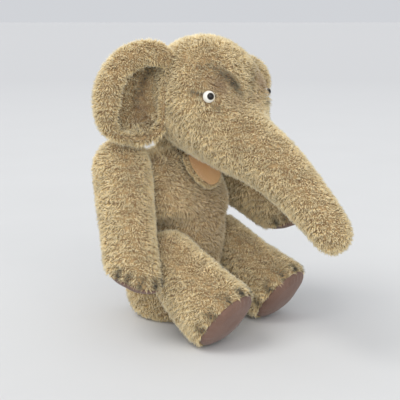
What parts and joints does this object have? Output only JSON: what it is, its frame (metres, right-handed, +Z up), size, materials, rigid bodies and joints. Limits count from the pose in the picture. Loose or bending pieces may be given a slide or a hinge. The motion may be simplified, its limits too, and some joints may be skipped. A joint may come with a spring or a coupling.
{
  "type": "stuffed elephant",
  "caption": "Sitting mohair elephant toy with a long trunk, cupped ears, open felt-lined mouth and felt soles; head, arms and legs turn on disc joints",
  "frame": {"origin": "on the table under the seat, at the middle of the seat's width", "axes": "+Z up, the torso faces -Y, +X to the elephant's own left"},
  "size_m": [0.1591, 0.1994, 0.2078],
  "materials": {
    "mohair": "golden beige mohair pile with pale tips, on a woven backing",
    "brown_felt": "dusty mauve-brown wool felt",
    "peach_felt": "tan to peach wool felt",
    "wood_wool": "packed fine wood shavings",
    "hardboard": "smooth pressed board",
    "steel": "drawn steel wire and stamped washers",
    "eye_white": "glossy white, slightly domed",
    "eye_black": "glossy black dome"
  },
  "bodies": {
    "torso": {"torso_cover": "mohair", "torso_stuffing": "wood_wool", "neck_disc_lower": "hardboard", "shoulder_disc_right": "hardboard", "shoulder_disc_left": "hardboard", "hip_disc_right": "hardboard", "hip_disc_left": "hardboard", "joint_washers": "steel", "tail": "mohair"},
    "head": {"head_cover": "mohair", "head_stuffing": "wood_wool", "neck_disc_upper": "hardboard", "neck_pin": "steel", "ear_right": "mohair", "ear_left": "mohair", "eye_white_right": "eye_white", "eye_white_left": "eye_white", "eye_pupil_right": "eye_black", "eye_pupil_left": "eye_black", "eye_wires": "steel", "lower_jaw": "mohair", "jaw_lining": "peach_felt", "mouth_roof": "peach_felt"},
    "arm_right": {"arm_cover_right": "mohair", "arm_stuffing_right": "wood_wool", "paw_pad_right": "brown_felt", "arm_disc_right": "hardboard", "arm_pin_right": "steel"},
    "arm_left": {"arm_cover_left": "mohair", "arm_stuffing_left": "wood_wool", "paw_pad_left": "brown_felt", "arm_disc_left": "hardboard", "arm_pin_left": "steel"},
    "leg_right": {"leg_cover_right": "mohair", "leg_stuffing_right": "wood_wool", "foot_pad_right": "brown_felt", "leg_disc_right": "hardboard", "leg_pin_right": "steel"},
    "leg_left": {"leg_cover_left": "mohair", "leg_stuffing_left": "wood_wool", "foot_pad_left": "brown_felt", "leg_disc_left": "hardboard", "leg_pin_left": "steel"}
  },
  "joints": [
    {"name": "neck_turn", "type": "hinge", "parent": "torso", "child": "head", "pos_m": [0, 0.003, 0.128], "axis": [0, 0, 1], "range_deg": [-24, 24]},
    {"name": "shoulder_right", "type": "hinge", "parent": "torso", "child": "arm_right", "pos_m": [-0.034, 0.016, 0.112], "axis": [-0.9816, 0, 0.1908], "range_deg": [-60, 45]},
    {"name": "shoulder_left", "type": "hinge", "parent": "torso", "child": "arm_left", "pos_m": [0.034, 0.006, 0.112], "axis": [-0.9816, 0, -0.1908], "range_deg": [-90, 35]},
    {"name": "hip_right", "type": "hinge", "parent": "torso", "child": "leg_right", "pos_m": [-0.0192, -0.0155, 0.0544], "axis": [-0.9659, -0.2588, 0], "range_deg": [-45, 25]},
    {"name": "hip_left", "type": "hinge", "parent": "torso", "child": "leg_left", "pos_m": [0.0192, -0.0155, 0.0544], "axis": [-0.9659, 0.2588, 0], "range_deg": [-45, 25]}
  ]
}
